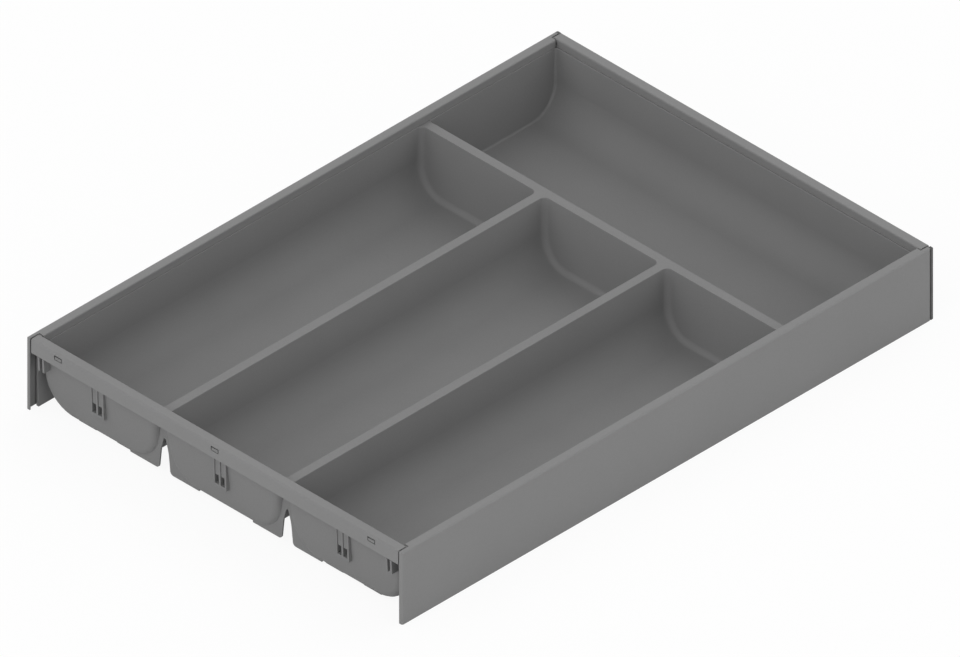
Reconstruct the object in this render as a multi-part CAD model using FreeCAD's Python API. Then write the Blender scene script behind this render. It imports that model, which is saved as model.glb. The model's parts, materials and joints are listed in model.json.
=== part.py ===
import FreeCAD, Part
import math
import os

# Cutlery tray in millimetres: a moulded tray with four bowls, held in a frame of folded sheet steel
# X is the width, Y runs from the front to the back, Z is up, and the origin is the middle of the underside

# Overall size
overall_width = 300.0
overall_length = 424.0
overall_height = 49.5

# Folded sheet steel of the frame
sheet = 0.8
bend_inside = 0.4
lip_bend_inside = 0.1
end_bend_inside = 0.4
flange_width = 6.1
rail_flange_width = 6.6
lip_height = 5.2
end_flange_flat = 1.4
rail_height = 9.5
rail_setback = 0.2
seam = 1.0

# Slots in the rails for the lugs of the tray
slot_count = 3
slot_end_inset = 25.0
slot_width = 6.2
slot_height = 3.2
slot_drop = 3.5
slot_corner = 0.4
lug_side_gap = 0.6
lug_top_gap = 0.9

# Strips on the inside of the side panels, which stand off the panels at their ends
liner_thickness = 1.8
liner_standoff = 1.2
liner_standoff_inset = 8.0
liner_end_inset = 6.0
liner_top_gap = 0.3

# Angle plates under the corners of the frame
bracket_leg = 24.0
bracket_thickness = 1.2

# Buffer strips on the rear ends of the side panels
buffer_thickness = 2.3
buffer_corner = 0.8
buffer_top_gap = 0.7

# Clearances between the frame and the tray
lift_gap = 0.3
rim_gap = 0.2

# Rim and walls of the tray
deck_thickness = 2.0
deck_corner = 3.0
rim_round = 0.4
wall = 1.7
side_inset = 6.3
front_inset = 6.2
rear_inset = 7.7

# Bowls of the tray
bowl_count = 3
divider_width = 6.1
cross_divider_width = 6.1
cross_bowl_length = 100.9
panel_side_draft = 5.0
divider_draft = 8.0
front_draft = 5.0
rear_draft = 7.3
cross_draft = 5.0
cross_end_draft = 3.6
bowl_radius = 20.5
front_radius = 3.2
rear_radius = 3.8
cross_end_radius = 1.5

# Foot webs that close the front of the gaps between the bowls
web_thickness = 1.0
web_setback = 1.2
web_overlap = 1.0
notch_height = 25.5
notch_knee_height = 14.1
notch_knee_half_width = 3.1
notch_foot_half_width = 4.6
notch_foot_corner = 2.5
notch_knee_bend = 30.0
notch_top_bend = 1.0

# Rib groups under the rails, one group for each bowl of the front row
rib_count = 3
rib_pitch = 4.6
rib_thickness = 1.3
rib_setback = 3.6
rib_taper = 0.8
rib_length = 24.3
rib_root = 5.1
tongue_length = 16.5
tongue_setback = 0.6
pocket_depth = 0.9
ledge_height = 1.8

# Ribs below the ends of the rails
corner_rib_count = 2
corner_rib_inset = 9.5
corner_rib_setback = 0.1
corner_rib_pitch = 3.5
corner_rib_thickness = 1.4
corner_rib_length = 11.6
corner_rib_taper = 0.5
corner_rib_root = 7.0

# Anti-slip pads
pad_thickness = 2.3
pad_gap = 15.3
pad_length = 12.0
pad_corner = 1.0
pad_inset = 0.3

# Levels and lines that follow from the sizes above
half_width = overall_width / 2
half_length = overall_length / 2
bend = sheet + bend_inside
lip_bend = sheet + lip_bend_inside
end_bend = sheet + end_bend_inside
end_flange_width = end_bend + end_flange_flat
liner_depth = liner_standoff + liner_thickness
rail_front = rail_setback - half_length
rail_bottom = overall_height - rail_height
lip_bottom = overall_height - lip_height
rim_top = lip_bottom - rim_gap
deck_bottom = rim_top - deck_thickness
underside = pad_thickness
bowl_floor = underside + wall
notch_edge = half_width - end_flange_width
rail_end = notch_edge - seam
panel_rear = half_length - buffer_thickness
bracket_corner = buffer_thickness + end_flange_width
flange_end = half_length - rail_setback - rail_flange_width - seam
deck_half_width = half_width - sheet - liner_depth - lift_gap
deck_half_length = half_length - rail_setback - sheet - lift_gap
cavity_half_width = half_width - side_inset
cavity_front = front_inset - half_length
cavity_rear = half_length - rear_inset
cross_bowl_front = cavity_rear - cross_bowl_length
bowl_rear = cross_bowl_front - cross_divider_width
bowl_width = (2 * cavity_half_width - (bowl_count - 1) * divider_width) / bowl_count
bowl_pitch = bowl_width + divider_width
bowl_centres = [(i - (bowl_count - 1) / 2) * bowl_pitch for i in range(bowl_count)]
divider_centres = [x + bowl_pitch / 2 for x in bowl_centres[:-1]]
slot_pitch = 2 * (half_width - slot_end_inset) / (slot_count - 1)
slot_centres = [(i - (slot_count - 1) / 2) * slot_pitch for i in range(slot_count)]
slot_level = overall_height - slot_drop

# Reach of a cut past the solid, and the least length that counts
cut_margin = 4.0
tiny = 0.001


def vec(x, y, z):
    return FreeCAD.Vector(x, y, z)


def block(x0, x1, y0, y1, z0, z1):
    return Part.makeBox(x1 - x0, y1 - y0, z1 - z0, vec(x0, y0, z0))


def inset(height, draft):
    """How far a wall with this draft leans in over this height."""
    return height * math.tan(math.radians(draft))


def skewed(thickness, draft):
    """The level width of a wall of this thickness that leans by this draft."""
    return thickness / math.cos(math.radians(draft))


def level_start(rim_edge, draft, radius):
    """Where the level underside starts, inwards of a wall of the tray that meets the rim at rim_edge."""
    corner = rim_edge - skewed(wall, draft) + inset(rim_top - underside, draft)
    return corner + (radius + wall) / math.tan(math.radians(90 + draft) / 2)


def rounded_face(corners, place):
    """A face from corners (a, b, radius), each set in space by place(a, b)."""
    flat = [FreeCAD.Vector(a, b, 0) for a, b, radius in corners]
    edges = []
    path = []
    for i, (a, b, radius) in enumerate(corners):
        corner = flat[i]
        back = (flat[i - 1] - corner).normalize()
        ahead = (flat[(i + 1) % len(flat)] - corner).normalize()
        half = back.getAngle(ahead) / 2
        if radius == 0:
            path.append((corner, corner, corner))
            continue
        reach = radius / math.tan(half)
        middle = (back + ahead).normalize() * (radius / math.sin(half) - radius)
        path.append((corner + back * reach, corner + middle, corner + ahead * reach))
    for i, (start, middle, end) in enumerate(path):
        here = [place(p.x, p.y) for p in (start, middle, end)]
        before = path[i - 1][2]
        if (before - start).Length > tiny:
            edges.append(Part.LineSegment(place(before.x, before.y), here[0]).toShape())
        if (start - end).Length > tiny:
            edges.append(Part.Arc(*here).toShape())
    return Part.Face(Part.Wire(edges))


def fused(shapes):
    whole = shapes[0].fuse(shapes[1:]).removeSplitter()
    return whole.Solids[0] if len(whole.Solids) == 1 else whole


def mirrored(shape, axis):
    return shape.mirror(vec(0, 0, 0), axis)


def save(shape, name):
    shape.exportStep("parts/" + name + ".step")


# Side panel: wall, end flanges and the narrow top strip as one shell, then the wide flange and its lip
def side_panel():
    def shell_block(gap, inner_edge):
        corner = end_bend - gap
        x0 = gap - half_width
        y0 = gap - half_length
        y1 = panel_rear - gap
        section = rounded_face(
            [(x0, 0, 0), (inner_edge, 0, 0), (inner_edge, overall_height - gap, 0),
             (x0, overall_height - gap, bend - gap)],
            lambda x, z: vec(x, -half_length, z))
        plan = rounded_face(
            [(x0, y0, corner), (inner_edge, y0, 0), (inner_edge, y1, 0), (x0, y1, corner)],
            lambda x, y: vec(x, y, 0))
        long_block = section.extrude(vec(0, overall_length, 0))
        return long_block.common(plan.extrude(vec(0, 0, overall_height)))

    shell = shell_block(0, -notch_edge).cut(shell_block(sheet, cut_margin - notch_edge))
    lip_face = flange_width - half_width
    lip_back = lip_face - sheet
    under = overall_height - sheet
    flange = rounded_face(
        [(sheet - half_width, under, bend_inside), (lip_back, under, lip_bend_inside),
         (lip_back, lip_bottom, 0), (lip_face, lip_bottom, 0),
         (lip_face, overall_height, lip_bend), (-half_width, overall_height, bend),
         (-half_width, lip_bottom, 0), (sheet - half_width, lip_bottom, 0)],
        lambda x, z: vec(x, -flange_end, z))
    return fused([shell, flange.extrude(vec(0, 2 * flange_end, 0))])


# Buffer strip: a strip on the end flange at the rear of a side panel, as wide as the flange
def rear_left_buffer():
    plan = rounded_face(
        [(-half_width, panel_rear, 0), (-notch_edge, panel_rear, 0),
         (-notch_edge, half_length, 0), (-half_width, half_length, buffer_corner)],
        lambda x, y: vec(x, y, 0))
    return plan.extrude(vec(0, 0, overall_height - buffer_top_gap))


# Side liner: a flat strip with a shorter raised back that lies against the inside of a side panel
def side_liner():
    outer = sheet - half_width
    face = outer + liner_standoff
    end = half_length - liner_end_inset
    back_end = end - liner_standoff_inset
    top = overall_height - sheet - bracket_thickness - liner_top_gap
    strip = block(face, face + liner_thickness, -end, end, 0, top)
    back = block(outer, face, -back_end, back_end, 0, top)
    return fused([strip, back])


# Rail: an upturned channel whose inner lip stops against the lips of the side panels
def front_rail():
    front = rail_front
    under = overall_height - sheet
    lip_face = front + rail_flange_width
    lip_back = lip_face - sheet
    channel = rounded_face(
        [(front, rail_bottom, 0), (front + sheet, rail_bottom, 0),
         (front + sheet, under, bend_inside), (lip_back, under, lip_bend_inside),
         (lip_back, lip_bottom, 0), (lip_face, lip_bottom, 0),
         (lip_face, overall_height, lip_bend), (front, overall_height, bend)],
        lambda y, z: vec(-rail_end, y, z)).extrude(vec(2 * rail_end, 0, 0))
    lip_end = half_width - flange_width + sheet
    corner_cuts = []
    for side in (-1, 1):
        edges = sorted((side * lip_end, side * half_width))
        bend_start = lip_back - lip_bend_inside
        corner_cuts.append(block(*edges, bend_start, lip_face + cut_margin, lip_bottom, under))
    slots = [slot_cut(x, front) for x in slot_centres]
    return channel.cut(corner_cuts + slots).removeSplitter().Solids[0]


def slot_cut(x, front):
    half = slot_width / 2
    low = slot_level - slot_height / 2
    high = slot_level + slot_height / 2
    opening = rounded_face(
        [(x - half, low, slot_corner), (x + half, low, slot_corner),
         (x + half, high, slot_corner), (x - half, high, slot_corner)],
        lambda a, b: vec(a, front, b))
    return opening.extrude(vec(0, sheet, 0))


# Corner bracket: an angle plate flat against the undersides of a rail and a side panel
def front_left_bracket():
    top = overall_height - sheet
    rail_outer = rail_front + bend
    rail_inner = rail_front + rail_flange_width - lip_bend
    side_outer = bend - half_width
    side_inner = flange_width - lip_bend - half_width
    plan = rounded_face(
        [(side_outer, rail_outer + bracket_corner, 0), (side_outer + bracket_corner, rail_outer, 0),
         (side_outer + bracket_leg, rail_outer, 0),
         (side_outer + bracket_leg, rail_inner, 0), (side_inner, rail_inner, 0),
         (side_inner, rail_outer + bracket_leg, 0), (side_outer, rail_outer + bracket_leg, 0)],
        lambda x, y: vec(x, y, top - bracket_thickness))
    return plan.extrude(vec(0, 0, bracket_thickness))


# Bowl: a trough with rounded sides, closed by leaning ends, grown outwards by grow
def bowl(axis, sides, drafts, ends, leans, end_radii, grow, z_top):
    def put(a, b, z):
        return vec(a, b, z) if axis == "Y" else vec(b, a, z)

    z_low = bowl_floor - grow

    def line(rim, draft, direction, z):
        return rim + direction * (skewed(grow, draft) - inset(rim_top - z, draft))

    low = [line(sides[0], drafts[0], -1, z) for z in (z_low, z_top)]
    high = [line(sides[1], drafts[1], 1, z) for z in (z_low, z_top)]
    near = [line(ends[0], leans[0], -1, z) for z in (z_low, z_top)]
    far = [line(ends[1], leans[1], 1, z) for z in (z_low, z_top)]
    trough = rounded_face(
        [(low[0], z_low, bowl_radius + grow), (high[0], z_low, bowl_radius + grow),
         (high[1], z_top, 0), (low[1], z_top, 0)],
        lambda a, z: put(a, near[1], z)).extrude(put(0, far[1] - near[1], 0))
    gable = rounded_face(
        [(near[0], z_low, 0), (far[0], z_low, 0), (far[1], z_top, 0), (near[1], z_top, 0)],
        lambda b, z: put(low[1], b, z)).extrude(put(high[1] - low[1], 0, 0))
    whole = trough.common(gable).removeSplitter().Solids[0]
    for direction, radius in zip((-1, 1), end_radii):
        whole = whole.makeFillet(radius + grow, end_rims(whole, put(0, direction, 0), z_top))
    return whole


def end_rims(solid, outward, z_top):
    """The edges round the end of a bowl on this side, apart from the top edge."""
    nearly_along = math.cos(math.radians(45))
    rims = []
    for face in solid.Faces:
        across = abs(face.normalAt(0, 0).dot(outward)) > nearly_along
        if across and (face.CenterOfMass - solid.BoundBox.Center).dot(outward) > 0:
            rims += [e for e in face.Edges if e.BoundBox.ZMin < z_top - tiny]
    return rims


def all_bowls(grow, z_top):
    bowls = []
    for i, x in enumerate(bowl_centres):
        outer = (i == 0, i == bowl_count - 1)
        drafts = [panel_side_draft if o else divider_draft for o in outer]
        sides = (x - bowl_width / 2, x + bowl_width / 2)
        bowls.append(bowl("Y", sides, drafts, (cavity_front, bowl_rear), (front_draft, rear_draft),
                          (front_radius, rear_radius), grow, z_top))
    bowls.append(bowl("X", (cross_bowl_front, cavity_rear), (cross_draft, cross_draft),
                      (-cavity_half_width, cavity_half_width), (cross_end_draft, cross_end_draft),
                      (cross_end_radius, cross_end_radius), grow, z_top))
    return bowls


# Foot webs: plates across the gaps between the bowls, with a notch open to the floor
def foot_web(x):
    wall_foot = cavity_front - skewed(wall, front_draft) + inset(rim_top - underside, front_draft)
    reach = level_start(divider_width / 2, divider_draft, bowl_radius) + web_overlap
    y = wall_foot + web_setback
    z = underside
    plate = rounded_face(
        [(x - reach, z, 0), (x - notch_foot_half_width, z, notch_foot_corner),
         (x - notch_knee_half_width, z + notch_knee_height, notch_knee_bend),
         (x, z + notch_height, notch_top_bend),
         (x + notch_knee_half_width, z + notch_knee_height, notch_knee_bend),
         (x + notch_foot_half_width, z, notch_foot_corner), (x + reach, z, 0),
         (x + reach, rim_top, 0), (x - reach, rim_top, 0)],
        lambda a, b: vec(a, y, b))
    return plate.extrude(vec(0, web_thickness, 0))


# Rib group: upright ribs on a ledge, with a tongue between each pair and a pocket below each tongue
def rib_slab(x, width, setback, z_low, z_high):
    """A slab behind the leaning front line of the ribs, between two levels."""
    def front(z):
        return rib_setback + setback - half_length + rib_taper * (deck_bottom - z) / rib_length

    root = rib_setback + rib_root - half_length
    outline = [(front(z_high), z_high, 0), (front(z_low), z_low, 0), (root, z_low, 0), (root, z_high, 0)]
    slab = rounded_face(outline, lambda y, z: vec(x - width / 2, y, z))
    return slab.extrude(vec(width, 0, 0))


def rib_group(x):
    z_low = deck_bottom - rib_length
    between = (rib_count - 1) * rib_pitch
    solids = [
        rib_slab(x, between, 0, z_low, z_low + ledge_height),
        rib_slab(x, between, tongue_setback, deck_bottom - tongue_length, deck_bottom),
    ]
    for i in range(rib_count):
        rib_centre = x + i * rib_pitch - between / 2
        solids.append(rib_slab(rib_centre, rib_thickness, 0, z_low, deck_bottom))
    return solids


def rib_pockets(x):
    cuts = []
    z_low = deck_bottom - rib_length + ledge_height
    z_high = deck_bottom - tongue_length
    outer = cavity_front - skewed(wall, front_draft)
    low = outer + inset(rim_top - z_low, front_draft)
    high = outer + inset(rim_top - z_high, front_draft)
    for i in range(rib_count - 1):
        start = x + (i - (rib_count - 1) / 2) * rib_pitch + rib_thickness / 2
        pocket = rounded_face(
            [(low - cut_margin, z_low, 0), (low + pocket_depth, z_low, 0),
             (high + pocket_depth, z_high, 0), (high - cut_margin, z_high, 0)],
            lambda y, z: vec(start, y, z))
        cuts.append(pocket.extrude(vec(rib_pitch - rib_thickness, 0, 0)))
    return cuts


# Corner ribs: short upright ribs that reach forwards below the ends of a rail
def corner_ribs():
    solids = []
    front = corner_rib_setback - half_length
    root = front + corner_rib_root
    step = rail_bottom - rim_gap
    z_low = deck_bottom - corner_rib_length
    outline = [(front + corner_rib_taper, z_low, 0), (front, step, 0), (-deck_half_length, step, 0),
               (-deck_half_length, deck_bottom, 0), (root, deck_bottom, 0), (root, z_low, 0)]
    for side in (-1, 1):
        for i in range(corner_rib_count):
            x = side * (half_width - corner_rib_inset - i * corner_rib_pitch)
            start = x - corner_rib_thickness / 2
            rib = rounded_face(outline, lambda y, z: vec(start, y, z))
            solids.append(rib.extrude(vec(corner_rib_thickness, 0, 0)))
    return solids


# Lugs: blocks on the rim that stand behind the slots of a rail
def lugs():
    solids = []
    half = slot_width / 2 - lug_side_gap
    top = slot_level + slot_height / 2 - lug_top_gap
    back = rail_front + rail_flange_width - sheet - lift_gap
    for x in slot_centres:
        solids.append(block(x - half, x + half, -deck_half_length, back, deck_bottom, top))
    return solids


def tray():
    deck = rounded_face(
        [(sx * deck_half_width, sy * deck_half_length, deck_corner)
         for sx, sy in ((-1, -1), (1, -1), (1, 1), (-1, 1))],
        lambda x, y: vec(x, y, deck_bottom)).extrude(vec(0, 0, deck_thickness))
    front_details = lugs() + corner_ribs()
    for x in bowl_centres:
        front_details += rib_group(x)
    rear_details = [mirrored(s, vec(0, 1, 0)) for s in front_details]
    webs = [foot_web(x) for x in divider_centres]
    body = fused([deck] + all_bowls(wall, rim_top) + webs + front_details + rear_details)
    cuts = all_bowls(0, rim_top + cut_margin)
    for x in bowl_centres:
        cuts += rib_pockets(x)
    hollow = body.cut(cuts).removeSplitter().Solids[0]
    return hollow.makeFillet(rim_round, [e for e in hollow.Edges if on_mouth(e.BoundBox)])


def on_mouth(box):
    """Whether an edge with this box is part of the upper edge of a bowl."""
    level = box.ZMin > rim_top - tiny and box.ZMax < rim_top + tiny
    across = max(-box.XMin, box.XMax) < cavity_half_width + tiny
    return level and across and box.YMin > cavity_front - tiny and box.YMax < cavity_rear + tiny


# Pads: flat rounded pads stuck to the level underside of the outer bowls and of the cross bowl
def pad(x0, x1, y):
    plan = rounded_face(
        [(x0, y, pad_corner), (x1, y, pad_corner),
         (x1, y + pad_length, pad_corner), (x0, y + pad_length, pad_corner)],
        lambda a, b: vec(a, b, 0))
    return plan.extrude(vec(0, 0, pad_thickness))


def pads():
    named = {}
    front = level_start(cavity_front, front_draft, front_radius)
    rear = -level_start(-cavity_rear, cross_draft, bowl_radius) - pad_length
    outer = level_start(-cavity_half_width, panel_side_draft, bowl_radius) + pad_inset
    inner = divider_centres[0] - level_start(divider_width / 2, divider_draft, bowl_radius) - pad_inset
    width = (inner - outer - pad_gap) / 2
    left = [(outer, outer + width), (inner - width, inner)]
    right = [(-x1, -x0) for x0, x1 in reversed(left)]
    for i, (x0, x1) in enumerate(left + right):
        named["anti_slip_pad_front_%d" % (i + 1)] = pad(x0, x1, front)
        named["anti_slip_pad_rear_%d" % (i + 1)] = pad(x0, x1, rear)
    return named


def main():
    os.makedirs("parts", exist_ok=True)
    across = vec(1, 0, 0)
    along = vec(0, 1, 0)
    left_panel = side_panel()
    left_buffer = rear_left_buffer()
    left_liner = side_liner()
    rail = front_rail()
    bracket = front_left_bracket()
    nodes = {
        "cutlery_tray": tray(),
        "left_side_panel": left_panel,
        "right_side_panel": mirrored(left_panel, across),
        "rear_left_buffer_strip": left_buffer,
        "rear_right_buffer_strip": mirrored(left_buffer, across),
        "left_side_liner": left_liner,
        "right_side_liner": mirrored(left_liner, across),
        "front_rail": rail,
        "rear_rail": mirrored(rail, along),
        "front_left_corner_bracket": bracket,
        "front_right_corner_bracket": mirrored(bracket, across),
        "rear_left_corner_bracket": mirrored(bracket, along),
        "rear_right_corner_bracket": mirrored(mirrored(bracket, across), along),
    }
    nodes.update(pads())
    for name, shape in nodes.items():
        save(shape, name)
        print(name, len(shape.Solids), shape.isValid(), round(shape.Volume, 1), shape.BoundBox)


main()
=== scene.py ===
import json
import math

import bmesh
import bpy
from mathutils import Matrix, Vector


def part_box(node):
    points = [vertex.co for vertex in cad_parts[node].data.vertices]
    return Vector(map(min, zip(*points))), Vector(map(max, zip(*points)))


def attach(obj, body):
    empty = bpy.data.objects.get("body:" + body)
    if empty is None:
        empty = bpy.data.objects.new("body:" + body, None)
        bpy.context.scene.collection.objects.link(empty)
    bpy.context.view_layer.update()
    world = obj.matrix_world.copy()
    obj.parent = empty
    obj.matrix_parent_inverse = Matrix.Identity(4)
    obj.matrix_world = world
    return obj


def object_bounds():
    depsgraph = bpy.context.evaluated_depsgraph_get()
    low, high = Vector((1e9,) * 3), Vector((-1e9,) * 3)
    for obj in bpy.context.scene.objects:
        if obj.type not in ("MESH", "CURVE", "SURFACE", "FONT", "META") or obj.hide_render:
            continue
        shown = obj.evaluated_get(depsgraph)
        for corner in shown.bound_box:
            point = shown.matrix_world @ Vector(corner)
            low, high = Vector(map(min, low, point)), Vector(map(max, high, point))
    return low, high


# Cutlery tray in metres: finishes for the CAD pieces, lug tips in the slots, studio light and camera
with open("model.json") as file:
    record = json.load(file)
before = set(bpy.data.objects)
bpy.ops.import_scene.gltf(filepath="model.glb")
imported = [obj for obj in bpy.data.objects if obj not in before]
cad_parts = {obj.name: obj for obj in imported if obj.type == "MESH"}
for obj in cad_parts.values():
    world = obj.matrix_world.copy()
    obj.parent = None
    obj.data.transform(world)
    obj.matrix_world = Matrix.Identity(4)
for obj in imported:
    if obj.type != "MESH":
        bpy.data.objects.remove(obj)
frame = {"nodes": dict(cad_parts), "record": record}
cad_low, cad_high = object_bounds()
scene = bpy.context.scene
mm = 0.001

# Camera: looks down on the front right corner without perspective, all three axes equally foreshortened
picture_width = 960
pixels_per_metre = 1772.2
aim = Vector((0.0, 0.0, 24.1 * mm))
towards_camera = Vector((1.0, -1.0, 1.0)).normalized()
camera_distance = 2.0

# Lamps: azimuth from the front and elevation in degrees, strength, and apparent width in degrees
lamps = {
    "front_lamp": (0.0, 40.0, 0.83, 60.0),
    "low_front_lamp": (0.0, 15.0, 0.33, 40.0),
    "right_lamp": (90.0, 15.0, 0.57, 40.0),
    "back_lamp": (180.0, 40.0, 0.92, 60.0),
    "left_lamp": (270.0, 40.0, 0.35, 60.0),
}

# Surroundings: the backdrop's light on the object, how white it looks itself, and the floor
ambient_strength = 0.48
backdrop_colour = 1.0
backdrop_strength = 1.0
floor_size = 12.0
floor_colour = 0.9
floor_glow = 0.92

# Slots in the rails, and the lug tips that stand in them
slot_count = 3
slot_end_inset = 25.0 * mm
slot_drop = 3.5 * mm
slot_width = 6.2 * mm
slot_height = 3.2 * mm
tip_side_gap = 0.6 * mm
tip_top_gap = 0.9 * mm
tip_bottom_gap = 0.5 * mm
tip_depth = 1.1 * mm
tip_edge = 0.1 * mm
tip_edge_segments = 3
round_profile = 0.5

# Spread of a noise pattern's values around its middle
noise_low = 0.3
noise_high = 0.7


def linear(level):
    """The linear value of a level from 0 to 1 as a picture stores it, by the sRGB formula."""
    return level / 12.92 if level <= 0.04045 else ((level + 0.055) / 1.055) ** 2.4


def grey(level):
    """An opaque grey as a shader's colour socket takes it."""
    return (level, level, level, 1.0)


class Finish:
    """A material for one slot of the record, with patterns laid out in the part's own metres."""

    def __init__(self, slot, reflection):
        self.material = bpy.data.materials.new(slot)
        self.material.use_nodes = True
        self.tree = self.material.node_tree
        self.shader = self.tree.nodes["Principled BSDF"]
        self.shader.inputs["Specular IOR Level"].default_value = reflection
        self.place = self.add("ShaderNodeTexCoord").outputs["Object"]
        record = next(row for row in frame["record"]["materials"] if row["slot"] == slot)
        self.colour = [linear(level) for level in record["base_color"][:3]]

    def add(self, kind, **inputs):
        """A new node with its inputs set to numbers or linked to sockets."""
        node = self.tree.nodes.new(kind)
        for name, value in inputs.items():
            self.join(value, node.inputs[name])
        return node

    def join(self, value, socket):
        """Link a socket to the output that feeds it, or set it to a number."""
        if isinstance(value, bpy.types.NodeSocket):
            self.tree.links.new(value, socket)
        else:
            socket.default_value = value

    def noise(self, size, detail=2.0, stretch=(1.0, 1.0, 1.0)):
        """Soft noise with features of this size, drawn out along each axis by stretch."""
        mapping = self.add("ShaderNodeMapping", Vector=self.place)
        mapping.inputs["Scale"].default_value = [1 / (size * s) for s in stretch]
        texture = self.add("ShaderNodeTexNoise", Vector=mapping.outputs[0], Scale=1.0, Detail=detail)
        return texture.outputs[0]

    def cells(self, size):
        """Distance to the nearest of scattered points, about this far apart."""
        return self.add("ShaderNodeTexVoronoi", Vector=self.place, Scale=1 / size).outputs["Distance"]

    def spread(self, value, low, high):
        """A noise value mapped to the range from low to high."""
        node = self.add("ShaderNodeMapRange", Value=value)
        node.inputs["From Min"].default_value = noise_low
        node.inputs["From Max"].default_value = noise_high
        node.inputs["To Min"].default_value = low
        node.inputs["To Max"].default_value = high
        return node.outputs[0]

    def combine(self, operation, first, second):
        """The result of a Math node on two values."""
        node = self.add("ShaderNodeMath")
        node.operation = operation
        self.join(first, node.inputs[0])
        self.join(second, node.inputs[1])
        return node.outputs[0]

    def total(self, first, second):
        return self.combine("ADD", first, second)

    def mean(self, first, second):
        return self.combine("MULTIPLY", self.total(first, second), 1 / 2)

    def paint(self, factor, variation):
        """Base colour that varies by this share either way."""
        ramp = self.add("ShaderNodeValToRGB", Fac=factor)
        for stop, place, sign in zip(ramp.color_ramp.elements, (noise_low, noise_high), (-1, 1)):
            stop.position = place
            stop.color = [level * (1 + sign * variation) for level in self.colour] + [1.0]
        self.join(ramp.outputs[0], self.shader.inputs["Base Color"])

    def roughen(self, factor, low, high):
        """Roughness that follows a pattern from low to high."""
        self.join(self.spread(factor, low, high), self.shader.inputs["Roughness"])

    def emboss(self, height, depth):
        """Relief of this depth from a height pattern."""
        bump = self.add("ShaderNodeBump", Height=height, Distance=depth)
        self.join(bump.outputs[0], self.shader.inputs["Normal"])


# Powder coat: orange peel over fine grit
def coated_steel():
    finish = Finish("coated_steel", reflection=0.25)
    peel = finish.noise(size=1.6 * mm, detail=3.0)
    grit = finish.noise(size=0.35 * mm)
    cloud = finish.noise(size=70 * mm)
    finish.paint(finish.mean(cloud, grit), variation=0.04)
    finish.roughen(peel, low=0.6, high=0.72)
    finish.emboss(finish.total(peel, grit), depth=0.006 * mm)
    return finish.material


# Moulded plastic: the even grain of a spark-eroded mould
def tray_plastic():
    finish = Finish("tray_plastic", reflection=0.25)
    grain = finish.cells(size=0.7 * mm)
    fine = finish.noise(size=0.3 * mm)
    cloud = finish.noise(size=45 * mm)
    finish.paint(finish.mean(cloud, fine), variation=0.04)
    finish.roughen(grain, low=0.6, high=0.75)
    finish.emboss(finish.total(grain, fine), depth=0.008 * mm)
    return finish.material


# Extruded strip: faint lines along its length
def liner_plastic():
    finish = Finish("liner_plastic", reflection=0.25)
    lines = finish.noise(size=0.8 * mm, detail=3.0, stretch=(1.0, 120.0, 1.0))
    cloud = finish.noise(size=50 * mm)
    finish.paint(finish.mean(cloud, lines), variation=0.06)
    finish.roughen(lines, low=0.5, high=0.62)
    finish.emboss(lines, depth=0.01 * mm)
    return finish.material


# Dark grey strips: dull and slightly pitted
def grey_rubber():
    finish = Finish("grey_rubber", reflection=0.2)
    pits = finish.cells(size=0.9 * mm)
    dust = finish.noise(size=6 * mm, detail=4.0)
    finish.paint(dust, variation=0.15)
    finish.roughen(dust, low=0.75, high=0.92)
    finish.emboss(pits, depth=0.03 * mm)
    return finish.material


def dress_nodes(finishes):
    """Give each CAD piece the finish of its slot."""
    for part in frame["record"]["subparts"]:
        mesh = frame["nodes"][part["node"]].data
        mesh.materials.clear()
        mesh.materials.append(finishes[part["material_slot"]])


def add_lug_tip(name, x, rail, material):
    """The end of a lug that stands in a rail's slot, flush with the outer face of the rail."""
    low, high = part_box(rail)
    outward = -1 if rail == "front_rail" else 1
    face = low.y if outward < 0 else high.y
    slot_middle = high.z - slot_drop
    bottom = slot_middle - slot_height / 2 + tip_bottom_gap
    top = slot_middle + slot_height / 2 - tip_top_gap
    size = Vector((slot_width - 2 * tip_side_gap, tip_depth, top - bottom))
    middle = Vector((x, face - outward * tip_depth / 2, (top + bottom) / 2))
    shape = bmesh.new()
    bmesh.ops.create_cube(shape, size=1.0)
    for vertex in shape.verts:
        vertex.co = middle + vertex.co * size
    bmesh.ops.bevel(shape, geom=shape.edges[:], offset=tip_edge, segments=tip_edge_segments,
                    profile=round_profile, affect="EDGES")
    mesh = bpy.data.meshes.new(name)
    shape.to_mesh(mesh)
    shape.free()
    mesh.materials.append(material)
    tip = bpy.data.objects.new(name, mesh)
    scene.collection.objects.link(tip)
    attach(tip, "tray")


def add_lug_tips(material):
    """A tip in each slot, the outer slots standing at a fixed inset from the side panels."""
    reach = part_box("right_side_panel")[1].x - slot_end_inset
    for end in ("front", "rear"):
        for i in range(slot_count):
            x = -reach + 2 * reach * i / (slot_count - 1)
            add_lug_tip("lug_tip_%s_%d" % (end, i + 1), x, end + "_rail", material)


def seen_directly(tree):
    """1 where a ray comes from the camera, a gloss or a glass, else 0."""
    path = tree.nodes.new("ShaderNodeLightPath")
    value = path.outputs["Is Camera Ray"]
    for name in ("Is Glossy Ray", "Is Transmission Ray"):
        larger = tree.nodes.new("ShaderNodeMath")
        larger.operation = "MAXIMUM"
        tree.links.new(value, larger.inputs[0])
        tree.links.new(path.outputs[name], larger.inputs[1])
        value = larger.outputs[0]
    return value


def add_backdrop():
    """A world that is white to the eye and dimmer as a light."""
    world = bpy.data.worlds.new("backdrop")
    world.use_nodes = True
    tree = world.node_tree
    background = tree.nodes["Background"]
    background.inputs["Color"].default_value = grey(backdrop_colour)
    strength = tree.nodes.new("ShaderNodeMapRange")
    tree.links.new(seen_directly(tree), strength.inputs["Value"])
    strength.inputs["To Min"].default_value = ambient_strength
    strength.inputs["To Max"].default_value = backdrop_strength
    tree.links.new(strength.outputs[0], background.inputs["Strength"])
    scene.world = world


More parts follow.
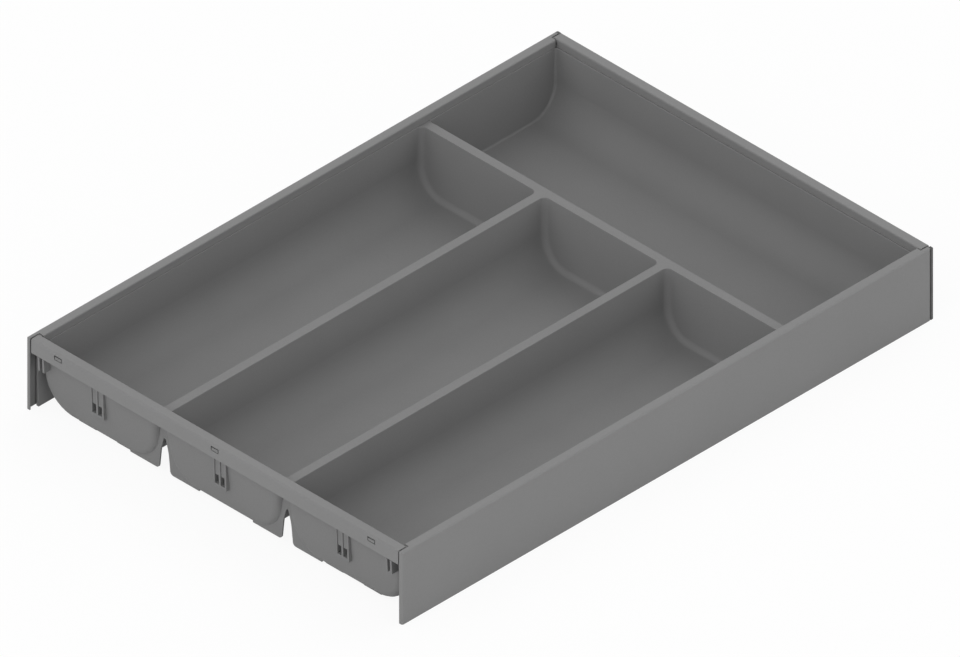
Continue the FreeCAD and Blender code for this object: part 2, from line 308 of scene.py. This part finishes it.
def add_floor():
    """A pale sheet under the part that glows to the eye and keeps a faint shadow."""
    material = bpy.data.materials.new("pale_floor")
    material.use_nodes = True
    tree = material.node_tree
    tree.nodes.clear()
    matt = tree.nodes.new("ShaderNodeBsdfDiffuse")
    matt.inputs["Color"].default_value = grey(floor_colour)
    glow = tree.nodes.new("ShaderNodeEmission")
    share = tree.nodes.new("ShaderNodeMapRange")
    share.inputs["To Max"].default_value = floor_glow
    mix = tree.nodes.new("ShaderNodeMixShader")
    output = tree.nodes.new("ShaderNodeOutputMaterial")
    tree.links.new(seen_directly(tree), share.inputs["Value"])
    tree.links.new(share.outputs[0], mix.inputs["Fac"])
    tree.links.new(matt.outputs[0], mix.inputs[1])
    tree.links.new(glow.outputs[0], mix.inputs[2])
    tree.links.new(mix.outputs[0], output.inputs["Surface"])
    half = floor_size / 2
    corners = [(x * half, y * half, cad_low.z) for x, y in ((-1, -1), (1, -1), (1, 1), (-1, 1))]
    mesh = bpy.data.meshes.new("floor")
    mesh.from_pydata(corners, [], [(0, 1, 2, 3)])
    mesh.materials.append(material)
    sheet = bpy.data.objects.new("floor", mesh)
    scene.collection.objects.link(sheet)


def direction(azimuth, elevation):
    """Unit vector towards a place at this azimuth from the front and this elevation."""
    a = math.radians(azimuth)
    e = math.radians(elevation)
    return Vector((math.sin(a) * math.cos(e), -math.cos(a) * math.cos(e), math.sin(e)))


def add_lamps():
    """Broad distant lamps, each shining from its direction onto the part."""
    for name, (azimuth, elevation, strength, width) in lamps.items():
        lamp = bpy.data.lights.new(name, "SUN")
        lamp.energy = strength
        lamp.angle = math.radians(width)
        obj = bpy.data.objects.new(name, lamp)
        obj.rotation_euler = direction(azimuth, elevation).to_track_quat("Z", "Y").to_euler()
        scene.collection.objects.link(obj)


def add_camera():
    """A camera without perspective that shows a metre at the given number of pixels."""
    data = bpy.data.cameras.new("camera")
    data.type = "ORTHO"
    data.ortho_scale = picture_width / pixels_per_metre
    obj = bpy.data.objects.new("camera", data)
    obj.location = aim + towards_camera * camera_distance
    obj.rotation_euler = towards_camera.to_track_quat("Z", "Y").to_euler()
    scene.collection.objects.link(obj)
    scene.camera = obj


finishes = {
    "coated_steel": coated_steel(),
    "tray_plastic": tray_plastic(),
    "liner_plastic": liner_plastic(),
    "grey_rubber": grey_rubber(),
}
dress_nodes(finishes)
add_lug_tips(finishes["tray_plastic"])
add_backdrop()
add_floor()
add_lamps()
add_camera()
scene.view_settings.view_transform = "Standard"
